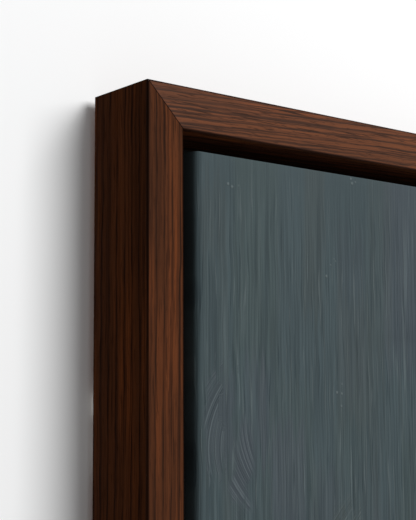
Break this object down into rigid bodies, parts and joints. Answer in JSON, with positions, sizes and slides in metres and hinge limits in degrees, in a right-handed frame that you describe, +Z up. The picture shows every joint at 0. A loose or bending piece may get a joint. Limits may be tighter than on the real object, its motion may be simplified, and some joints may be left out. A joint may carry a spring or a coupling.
{
  "type": "floating frame",
  "caption": "Square-edged wooden floater frame with mitred corners, holding a painted canvas on a keyed stretcher inside an open shadow gap, hung by two D-rings.",
  "frame": {"origin": "middle of the whole, from the front of the moulding to the wall that the bumpers rest on", "axes": "+X to the right as seen from the front, +Y into the wall, +Z up; the picture faces -Y"},
  "size_m": [0.457, 0.0468, 0.557],
  "materials": {
    "stained_walnut": "dark brown stain under a satin oil, with open grain",
    "bare_pine": "planed bare softwood",
    "beech_key": "sawn bare hardwood",
    "painted_canvas": "slate blue-grey paint brushed over primed linen",
    "bright_steel": "bright",
    "nickel_wire": "nickel plated",
    "zinc_plate": "zinc plated",
    "rubber": "matt"
  },
  "bodies": {
    "frame": {"frame_rail_top": "stained_walnut", "frame_rail_bottom": "stained_walnut", "frame_rail_left": "stained_walnut", "frame_rail_right": "stained_walnut", "corner_nails": "bright_steel", "stretcher_top": "bare_pine", "stretcher_bottom": "bare_pine", "stretcher_left": "bare_pine", "stretcher_right": "bare_pine", "canvas": "painted_canvas", "canvas_staples": "bright_steel", "fixing_screws": "zinc_plate", "hanger_strap_left": "zinc_plate", "hanger_strap_right": "zinc_plate", "hanger_screws_left": "zinc_plate", "hanger_screws_right": "zinc_plate", "bumper_top_left": "rubber", "bumper_top_right": "rubber", "bumper_bottom_left": "rubber", "bumper_bottom_right": "rubber"},
    "ring_left": {"hanger_ring_left": "nickel_wire"},
    "ring_right": {"hanger_ring_right": "nickel_wire"},
    "key_top_left_vertical": {"key_top_left_vertical": "beech_key"},
    "key_top_left_horizontal": {"key_top_left_horizontal": "beech_key"},
    "key_top_right_vertical": {"key_top_right_vertical": "beech_key"},
    "key_top_right_horizontal": {"key_top_right_horizontal": "beech_key"},
    "key_bottom_left_vertical": {"key_bottom_left_vertical": "beech_key"},
    "key_bottom_left_horizontal": {"key_bottom_left_horizontal": "beech_key"},
    "key_bottom_right_vertical": {"key_bottom_right_vertical": "beech_key"},
    "key_bottom_right_horizontal": {"key_bottom_right_horizontal": "beech_key"}
  },
  "joints": [
    {"name": "ring_left_swing", "type": "hinge", "parent": "frame", "child": "ring_left", "pos_m": [-0.2145, 0.02068, 0.13], "axis": [-1, 0, 0], "range_deg": [0, 176]},
    {"name": "ring_right_swing", "type": "hinge", "parent": "frame", "child": "ring_right", "pos_m": [0.2145, 0.02068, 0.13], "axis": [-1, 0, 0], "range_deg": [0, 176]},
    {"name": "key_top_left_vertical_slide", "type": "slide", "parent": "frame", "child": "key_top_left_vertical", "axis": [0, 0, -1], "range_m": [0, 0.018]},
    {"name": "key_top_left_horizontal_slide", "type": "slide", "parent": "frame", "child": "key_top_left_horizontal", "axis": [1, 0, 0], "range_m": [0, 0.018]},
    {"name": "key_top_right_vertical_slide", "type": "slide", "parent": "frame", "child": "key_top_right_vertical", "axis": [0, 0, -1], "range_m": [0, 0.018]},
    {"name": "key_top_right_horizontal_slide", "type": "slide", "parent": "frame", "child": "key_top_right_horizontal", "axis": [-1, 0, 0], "range_m": [0, 0.018]},
    {"name": "key_bottom_left_vertical_slide", "type": "slide", "parent": "frame", "child": "key_bottom_left_vertical", "axis": [0, 0, 1], "range_m": [0, 0.018]},
    {"name": "key_bottom_left_horizontal_slide", "type": "slide", "parent": "frame", "child": "key_bottom_left_horizontal", "axis": [1, 0, 0], "range_m": [0, 0.018]},
    {"name": "key_bottom_right_vertical_slide", "type": "slide", "parent": "frame", "child": "key_bottom_right_vertical", "axis": [0, 0, 1], "range_m": [0, 0.018]},
    {"name": "key_bottom_right_horizontal_slide", "type": "slide", "parent": "frame", "child": "key_bottom_right_horizontal", "axis": [-1, 0, 0], "range_m": [0, 0.018]}
  ]
}
